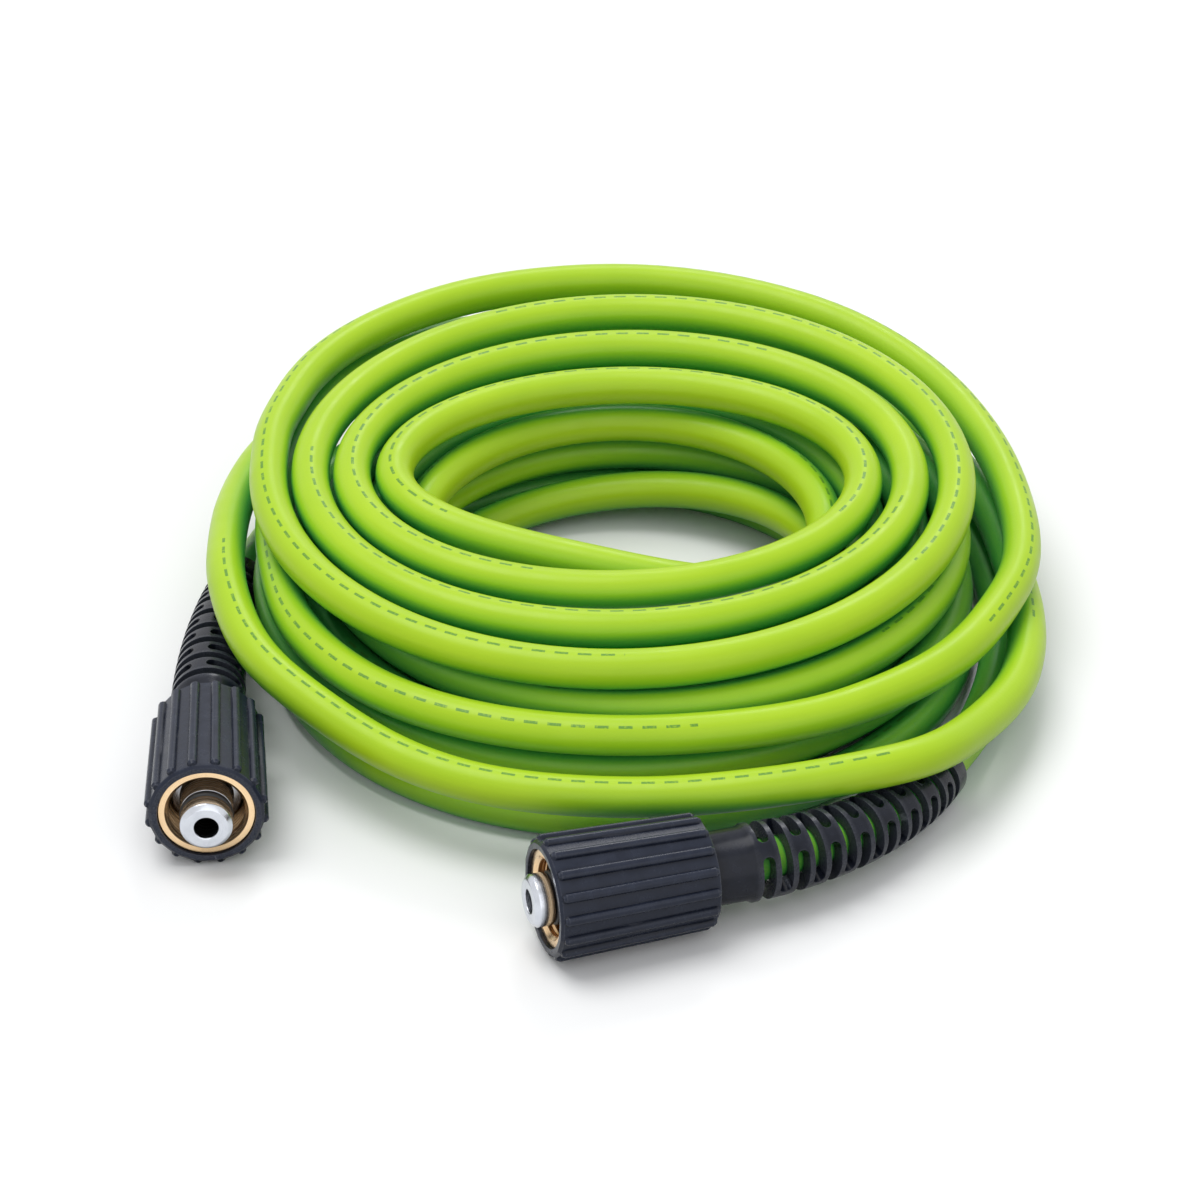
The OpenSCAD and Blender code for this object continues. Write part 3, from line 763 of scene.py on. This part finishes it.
def grip(end):
    """The ribbed sleeve: nearly flat panels with rounded ribs between them."""
    angles = grip_angles()
    rows = grip_outside(angles) + [[pair] * len(angles) for pair in grip_bore()]
    local = []
    for row in rows:
        local += [Vector((r * math.cos(a), r * math.sin(a), z)) for a, (z, r) in zip(angles, row)]
    faces = ring_faces(len(rows), len(angles), closed=True)
    obj = mesh_object(end.name + "_grip", [end.nut_place @ p for p in local], faces,
                      [p * MM for p in local])
    finish_mesh(obj, sharp_angle=38)
    return obj


def boot_angles(radius, web_half):
    """Columns of the boot at a radius: close ones over the four web places, the rest between."""
    half = web_half / radius
    angles = []
    for quarter in range(4):
        middle = math.radians(WEB_TURN + 90 * quarter)
        angles += [middle + half * (2 * k / WEB_STEPS - 1) for k in range(WEB_STEPS)]
        gap = math.pi / 2 - 2 * half
        angles += [middle + half + gap * k / SLOT_STEPS for k in range(SLOT_STEPS)]
    return angles


def ring_radius(s):
    """Outside radius of the boot's rings at s along its arc."""
    return mix(RING_FIRST_D, RING_LAST_D, max(0, min(1, s / RINGS_L))) / 2


class Boot:
    """The bend restrictor: a collar, rings joined by pairs of webs, and a small end collar."""

    def __init__(self, end):
        self.end = end
        self.points = []
        self.faces = []
        self.own = []

    def place(self, s, x, y):
        """A point beside the centreline, straight before the collar's end and bent after it."""
        radius = self.end.arc_radius
        a = self.end.bend * max(s, 0) / ARC_L
        bent = Vector((radius * (1 - math.cos(a)) + x * math.cos(a), y,
                       COLLAR_END + min(s, 0) + radius * math.sin(a) - x * math.sin(a)))
        return Matrix.Rotation(self.end.roll_about_axis, 3, "Z") @ bent

    def point(self, s, radius, angle):
        x = radius * math.cos(angle)
        y = radius * math.sin(angle)
        self.points.append(self.place(s, x, y))
        self.own.append(Vector((x, y, s)))
        return len(self.points) - 1

    def row(self, s, radius, web_radius=None):
        """A whole ring of points, whose web columns stand as on a ring of web_radius."""
        angles = boot_angles(web_radius or radius, WEB_W / 2 + SLOT_W / 2)
        return [self.point(s, radius, a) for a in angles]

    def join(self, a, b, columns=None):
        count = len(a)
        for k in columns if columns is not None else range(count):
            n = (k + 1) % count
            self.faces.append((a[k], a[n], b[n], b[k]))

    def web(self, s0, row_before, row_after, inner_before, inner_after, parity):
        """Two webs across one slot, waisted so that the slots beside them have round ends."""
        slot_r = SLOT_W / 2
        for side in (0, 2):
            quarter = (side + parity) % 4
            first = quarter * QUARTER
            middle = math.radians(WEB_TURN + 90 * quarter)
            outer_rows = [[row_before[(first + k) % len(row_before)] for k in range(WEB_STEPS + 1)]]
            inner_rows = [[inner_before[(first + k) % len(row_before)] for k in range(WEB_STEPS + 1)]]
            for level in range(1, WEB_LEVELS):
                z = -slot_r * math.cos(math.pi * level / WEB_LEVELS)
                half = WEB_W / 2 + slot_r - math.sqrt(slot_r * slot_r - z * z)
                s = s0 + slot_r + z
                r = ring_radius(s)
                turns = [half / r * (2 * k / WEB_STEPS - 1) for k in range(WEB_STEPS + 1)]
                outer_rows.append([self.point(s, r, middle + t) for t in turns])
                inner_rows.append([self.point(s, HOSE_BORE_D / 2, middle + t) for t in turns])
            outer_rows.append([row_after[(first + k) % len(row_after)] for k in range(WEB_STEPS + 1)])
            inner_rows.append([inner_after[(first + k) % len(row_after)] for k in range(WEB_STEPS + 1)])
            for level in range(WEB_LEVELS):
                for k in range(WEB_STEPS):
                    self.faces.append((outer_rows[level][k], outer_rows[level][k + 1],
                                       outer_rows[level + 1][k + 1], outer_rows[level + 1][k]))
                    self.faces.append((inner_rows[level][k], inner_rows[level + 1][k],
                                       inner_rows[level + 1][k + 1], inner_rows[level][k + 1]))
                for k in (0, WEB_STEPS):
                    self.faces.append((outer_rows[level][k], outer_rows[level + 1][k],
                                       inner_rows[level + 1][k], inner_rows[level][k]))

    def collar(self):
        """The collar over the ferrule. Its outer and its inner row are where the first slot begins."""
        bore_r = HOSE_BORE_D / 2
        first_r = ring_radius(0)
        front = COLLAR_AT - COLLAR_END
        stop = FERRULE_END - COLLAR_END
        outer = self.row(0, first_r)
        profile = [
            (-RING_W, first_r),
            (-RING_W - FLARE_L, COLLAR_D / 2),
            (front + COLLAR_CHAMFER, COLLAR_D / 2),
            (front, COLLAR_D / 2 - COLLAR_CHAMFER),
            (front, FERRULE_D / 2),
            (stop, FERRULE_D / 2),
            (stop, bore_r),
            (0, bore_r)]
        before = outer
        for s, r in profile:
            after = self.row(s, r, first_r)
            self.join(before, after)
            before = after
        return outer, before

    def build(self):
        """The collar, then slot after slot with a ring behind each, the last one the end collar."""
        bore_r = HOSE_BORE_D / 2
        outer, inner = self.collar()
        for slot in range(RING_COUNT + 1):
            s0 = slot * RING_PITCH
            s1 = s0 + SLOT_W
            last = slot == RING_COUNT
            ring_r = ring_radius(s1)
            next_outer = self.row(s1, ring_r)
            next_inner = self.row(s1, bore_r, ring_r)
            self.web(s0, outer, next_outer, inner, next_inner, slot % 2)
            self.walls(outer, inner, slot % 2)
            self.walls(next_outer, next_inner, slot % 2)
            s2 = ARC_L if last else s1 + RING_W
            end_r = ring_radius(s2)
            outer = self.row(s2, end_r)
            inner = self.row(s2, bore_r, end_r)
            if last:
                for part in (0.25, 0.5, 0.75):
                    middle = self.row(mix(s1, s2, part), ring_r)
                    self.join(next_outer, middle)
                    next_outer = middle
            self.join(next_outer, outer)
            self.join(next_inner, inner)
        self.join(outer, inner)

    def walls(self, outer, inner, parity):
        """The face of a ring along the slots that open beside it."""
        closed = set()
        for side in (0, 2):
            first = ((side + parity) % 4) * QUARTER
            closed |= set(range(first, first + WEB_STEPS))
        self.join(outer, inner, [k for k in range(len(outer)) if k not in closed])


def boot(end):
    shape = Boot(end)
    shape.build()
    obj = mesh_object(end.name + "_boot", [end.place @ p for p in shape.points], shape.faces,
                      [p * MM for p in shape.own])
    finish_mesh(obj, bevel=0.22)
    return obj


# ---------------------------------------------------------------- materials

def add(tree, kind, inputs=None, **settings):
    """A node with its settings and inputs, which are values or other nodes' sockets."""
    node = tree.nodes.new(kind)
    for key, value in settings.items():
        setattr(node, key, value)
    for socket, value in (inputs or {}).items():
        if isinstance(value, bpy.types.NodeSocket):
            tree.links.new(value, node.inputs[socket])
        else:
            node.inputs[socket].default_value = value
    return node


def new_material(name, **sockets):
    material = bpy.data.materials.new(name)
    material.use_nodes = True
    shader = material.node_tree.nodes["Principled BSDF"]
    for socket, value in sockets.items():
        shader.inputs[socket.replace("_", " ")].default_value = value
    return material, material.node_tree, shader


def math_node(tree, operation, a, b=0.0, c=0.0):
    return add(tree, "ShaderNodeMath", {0: a, 1: b, 2: c}, operation=operation).outputs[0]


def mixed_color(tree, factor, a, b):
    node = add(tree, "ShaderNodeMix", {0: factor, 6: a, 7: b}, data_type="RGBA")
    return node.outputs[2]


def ramp(tree, value, low, high, to_low=0.0, to_high=1.0):
    return add(tree, "ShaderNodeMapRange", {"Value": value, "From Min": low, "From Max": high,
                                            "To Min": to_low, "To Max": to_high}).outputs[0]


def noise(tree, vector, scale, detail=3.0, roughness=0.55, stretch=None):
    if stretch:
        vector = add(tree, "ShaderNodeMapping", {"Vector": vector, "Scale": stretch}).outputs[0]
    return add(tree, "ShaderNodeTexNoise", {"Vector": vector, "Scale": scale, "Detail": detail,
                                            "Roughness": roughness}).outputs[0]


def own_place(tree):
    return add(tree, "ShaderNodeAttribute", attribute_name="own_place").outputs["Vector"]


def bump(tree, shader, height, depth_mm, strength=1.0):
    node = add(tree, "ShaderNodeBump", {"Height": height, "Distance": depth_mm * MM, "Strength": strength})
    tree.links.new(node.outputs[0], shader.inputs["Normal"])


def open_air(tree, reach):
    """1 where a surface is open to the air around it, less where other surfaces are within reach."""
    return add(tree, "ShaderNodeAmbientOcclusion", {"Distance": reach}, samples=8).outputs["AO"]


def with_painted_shade(tree, air, low, high, share, color, shade_color):
    """The colour with a share of a painted shade colour where the open air is at or below low, and none
    above high.
    """
    return mixed_color(tree, ramp(tree, air, low, high, share, 0.0), color, shade_color)


def hose_cover():
    """Lime rubber: slow mottling, extrusion lines, painted shade in the crevices, the braid just telling
    through, and plain dashes.
    """
    material, tree, shader = new_material("hose_cover", Specular_IOR_Level=0.3)
    place = own_place(tree)
    slow = noise(tree, place, 28)
    lines = noise(tree, place, 700, detail=2, stretch=(1, 1, 0.02))
    grain = noise(tree, place, 2600, detail=2)
    base = mixed_color(tree, ramp(tree, slow, 0.3, 0.7), LIME, LIME_LIGHT)
    base = mixed_color(tree, ramp(tree, lines, 0.35, 0.75, 0.0, 0.12), base, LIME_LINES)
    # Painted shade: the rubber turns greener where it is sheltered and deep green in crevices, by ambient
    # occlusion
    air = open_air(tree, CREVICE_REACH)
    base = with_painted_shade(tree, air, 0.2, 0.85, SHELTER_SHADE_SHARE, base, LIME_SHELTER_SHADE)
    base = with_painted_shade(tree, air, 0.1, 0.5, CREVICE_SHADE_SHARE, base, LIME_CREVICE_SHADE)
    parts = add(tree, "ShaderNodeSeparateXYZ", {0: place})
    around = math_node(tree, "ARCTAN2", parts.outputs[1], parts.outputs[0])
    along = parts.outputs[2]
    base = mixed_color(tree, dashes(tree, around, along, place), base, DASH_GREEN)
    tree.links.new(base, shader.inputs["Base Color"])
    rough = ramp(tree, noise(tree, place, 160), 0.3, 0.7, 0.3, 0.42)
    tree.links.new(rough, shader.inputs["Roughness"])
    onward = math_node(tree, "MULTIPLY", along, 2000.0)
    one = math_node(tree, "SINE", math_node(tree, "MULTIPLY_ADD", around, 10.0, onward))
    other = math_node(tree, "SINE", math_node(tree, "MULTIPLY_ADD", around, -10.0, onward))
    weave = math_node(tree, "MULTIPLY", one, other)
    height = math_node(tree, "MULTIPLY_ADD", weave, 0.25, math_node(tree, "MULTIPLY", grain, 0.7))
    bump(tree, shader, height, 0.03, 0.6)
    return material


def dashes(tree, around, along, place):
    """A row of plain ink dashes along one side of the hose, worn in places."""
    wave = math_node(tree, "SINE", math_node(tree, "MULTIPLY", along, DRIFT_RATE))
    middle = math_node(tree, "ADD", math_node(tree, "MULTIPLY", wave, ROW_DRIFT), ROW_AT)
    beside = math_node(tree, "ABSOLUTE", math_node(tree, "SUBTRACT", around, middle))
    on_row = ramp(tree, beside, *ROW_EDGE)
    within = math_node(tree, "FRACT", math_node(tree, "MULTIPLY", along, 1 / DASH_PITCH))
    from_middle = math_node(tree, "ABSOLUTE", math_node(tree, "SUBTRACT", within, 0.5))
    on_dash = ramp(tree, from_middle, 0.31, 0.28)
    run = math_node(tree, "FRACT", math_node(tree, "MULTIPLY", along, 1 / RUN_PITCH))
    on_run = math_node(tree, "LESS_THAN", run, RUN_SHARE)
    worn = ramp(tree, noise(tree, place, 1500, detail=2), 0.3, 0.5, 0.35, 0.85)
    both = math_node(tree, "MULTIPLY", on_row, on_dash)
    return math_node(tree, "MULTIPLY", math_node(tree, "MULTIPLY", both, on_run), worn)


def moulded_plastic(name, color, light, roughness, grain_mm, grain_scale):
    """Black plastic with a fine moulded grain, lighter patches, painted shade in the valleys and worn
    edges lightened as a painted highlight.
    """
    material, tree, shader = new_material(name, Specular_IOR_Level=0.2)
    place = own_place(tree)
    patches = noise(tree, place, 220, detail=4)
    grain = noise(tree, place, grain_scale, detail=3, roughness=0.7)
    base = mixed_color(tree, ramp(tree, patches, 0.35, 0.7), color, light)
    geometry = add(tree, "ShaderNodeNewGeometry")
    edge = ramp(tree, geometry.outputs["Pointiness"], 0.515, 0.6, 0.0, 0.8)
    # Painted shade: darker in the valleys beside the ribs, by ambient occlusion
    base = with_painted_shade(tree, open_air(tree, VALLEY_REACH), 0.5, 0.95, VALLEY_SHADE_SHARE, base, VALLEY_SHADE_BLACK)
    # Edges worn lighter, the lightening also standing in as a painted highlight on the rib edges
    worn_edge_and_highlight = math_node(tree, "MULTIPLY", edge, ramp(tree, grain, 0.3, 0.6))
    base = mixed_color(tree, worn_edge_and_highlight, base, WORN_EDGE_AND_HIGHLIGHT)
    tree.links.new(base, shader.inputs["Base Color"])
    rough = ramp(tree, patches, 0.3, 0.7, roughness - 0.06, roughness + 0.06)
    tree.links.new(rough, shader.inputs["Roughness"])
    bump(tree, shader, grain, grain_mm, 0.7)
    return material


def turned_metal(name, color, bloomed, hollow_shade, roughness, line_mm):
    """Metal with fine lines from the lathe, a faint bloom, and painted shade where it is sheltered."""
    material, tree, shader = new_material(name, Metallic=1.0)
    place = own_place(tree)
    parts = add(tree, "ShaderNodeSeparateXYZ", {0: place})
    flat = add(tree, "ShaderNodeCombineXYZ", {0: parts.outputs[0], 1: parts.outputs[1]})
    radius = add(tree, "ShaderNodeVectorMath", {0: flat.outputs[0]}, operation="LENGTH").outputs["Value"]
    across = add(tree, "ShaderNodeCombineXYZ", {0: radius, 1: parts.outputs[2]}).outputs[0]
    lines = noise(tree, across, 5200, detail=2, roughness=0.6)
    bloom = noise(tree, place, 330, detail=4)
    base = mixed_color(tree, ramp(tree, bloom, 0.4, 0.75, 0.0, 0.6), color, bloomed)
    # Painted shade: darker where the metal is sheltered, by ambient occlusion
    base = with_painted_shade(tree, open_air(tree, HOLLOW_REACH), 0.15, 0.75, HOLLOW_SHADE_SHARE, base, hollow_shade)
    tree.links.new(base, shader.inputs["Base Color"])
    rough = ramp(tree, lines, 0.3, 0.7, roughness - 0.06, roughness + 0.08)
    tree.links.new(rough, shader.inputs["Roughness"])
    bump(tree, shader, lines, line_mm, 0.5)
    return material


def seal_rubber():
    material, tree, shader = new_material("seal_rubber", Roughness=0.45)
    place = own_place(tree)
    base = mixed_color(tree, noise(tree, place, 600), SEAL_BLACK, SEAL_BLACK_LIGHT)
    tree.links.new(base, shader.inputs["Base Color"])
    bump(tree, shader, noise(tree, place, 4000), 0.01)
    return material


def hidden_metal(name, color, bloomed):
    """Plated metal of the crimped pieces inside, a fine bump and a dull bloom."""
    material, tree, shader = new_material(name, Metallic=1.0)
    place = add(tree, "ShaderNodeTexCoord").outputs["Object"]
    bloom = noise(tree, place, 400, detail=4)
    base = mixed_color(tree, ramp(tree, bloom, 0.35, 0.7), color, bloomed)
    tree.links.new(base, shader.inputs["Base Color"])
    tree.links.new(ramp(tree, bloom, 0.3, 0.7, 0.28, 0.42), shader.inputs["Roughness"])
    bump(tree, shader, noise(tree, place, 3000), 0.01)
    return material


def braid_yarn():
    material, tree, shader = new_material("braid_yarn", Roughness=0.8)
    place = add(tree, "ShaderNodeTexCoord").outputs["Object"]
    waves = {"Vector": place, "Scale": 300.0, "Distortion": 0.5}
    one = add(tree, "ShaderNodeTexWave", waves)
    other = add(tree, "ShaderNodeTexWave", waves, bands_direction="DIAGONAL")
    weave = math_node(tree, "MULTIPLY", one.outputs[1], other.outputs[1])
    base = mixed_color(tree, weave, YARN, YARN_LIGHT)
    tree.links.new(base, shader.inputs["Base Color"])
    bump(tree, shader, weave, 0.1)
    return material


def tube_rubber(name, dark, light):
    material, tree, shader = new_material(name, Roughness=0.6)
    place = add(tree, "ShaderNodeTexCoord").outputs["Object"]
    base = mixed_color(tree, noise(tree, place, 300, detail=4), dark, light)
    tree.links.new(base, shader.inputs["Base Color"])
    bump(tree, shader, noise(tree, place, 2500), 0.02)
    return material


def floor_paper():
    """White paper, which throws less light back up at the object than it shows."""
    material, tree, shader = new_material("floor_paper", Roughness=0.9, Specular_IOR_Level=0.1)
    place = add(tree, "ShaderNodeTexCoord").outputs["Object"]
    path = add(tree, "ShaderNodeLightPath")
    shade = ramp(tree, path.outputs["Is Diffuse Ray"], 0, 1, FLOOR_SEEN, FLOOR_CAST)
    cloudy = ramp(tree, noise(tree, place, 3), 0.3, 0.7, 0.99, 1.01)
    value = math_node(tree, "MULTIPLY", shade, cloudy)
    base = add(tree, "ShaderNodeCombineColor", {0: value, 1: value, 2: value})
    tree.links.new(base.outputs[0], shader.inputs["Base Color"])
    return material


def dress(obj, material):
    obj.data.materials.clear()
    obj.data.materials.append(material)


def repaint(node, material):
    """A piece of the frame keeps its shape and gets the finer material."""
    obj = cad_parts[node]
    for k in range(max(1, len(obj.material_slots))):
        obj.material_slots[k].material = material


# ---------------------------------------------------------------- the object

def make_hose():
    path = hose_path()
    hose = hose_mesh(path)
    hose.data.polygons.foreach_set("use_smooth", [True] * len(hose.data.polygons))
    dress(hose, hose_cover())
    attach(hose, "hose")
    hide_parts("hose_coil", "left_hose_lead", "right_hose_lead")


def make_coupling(end, paints):
    name = end.name
    pieces = [
        (grip(end), "grip_sleeve", name + "_nut", "grip_plastic", "black_plastic"),
        (nut(end), "thread_nut", name + "_nut", "brass", "brass"),
        (probe(end), "nipple", "hose", "zinc", "zinc_steel"),
        (o_ring(end), "o_ring", "hose", "seal", "o_ring_rubber"),
        (boot(end), "bend_restrictor", "hose", "boot_plastic", "black_plastic")]
    for obj, node, body, paint, slot in pieces:
        dress(obj, paints[paint])
        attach(obj, body)
        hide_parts(name + "_" + node)
    repaint(name + "_slip_washer", paints["plated"])
    repaint(name + "_ferrule", paints["plated"])
    repaint(name + "_hose_cover_end", paints["cover_end"])
    repaint(name + "_braid_end", paints["braid"])
    repaint(name + "_inner_tube_end", paints["inner_tube"])


def make_paints():
    return {
        "grip_plastic": moulded_plastic("grip_plastic", GRIP_BLACK, GRIP_BLACK_LIGHT,
                                        roughness=0.25, grain_mm=0.012, grain_scale=2300),
        "boot_plastic": moulded_plastic("boot_plastic", BOOT_BLACK, BOOT_BLACK_LIGHT,
                                        roughness=0.24, grain_mm=0.008, grain_scale=3000),
        "brass": turned_metal("brass_turned", BRASS, BRASS_BLOOM, BRASS_HOLLOW_SHADE,
                              roughness=0.24, line_mm=0.008),
        "zinc": turned_metal("zinc_turned", ZINC, ZINC_BLOOM, ZINC_HOLLOW_SHADE,
                             roughness=0.22, line_mm=0.006),
        "seal": seal_rubber(),
        "plated": hidden_metal("plated_steel", PLATED, PLATED_BLOOM),
        "cover_end": tube_rubber("cover_rubber", COVER_END, COVER_END_LIGHT),
        "braid": braid_yarn(),
        "inner_tube": tube_rubber("inner_tube_rubber", TUBE_BLACK, TUBE_BLACK_LIGHT)}


make_camera()
make_hose()
paints = make_paints()
for end in (LEFT, RIGHT):
    make_coupling(end, paints)
for lamp in LAMPS:
    make_lamp(*lamp)
make_world()
make_floor()
bpy.context.scene.view_settings.view_transform = "Standard"
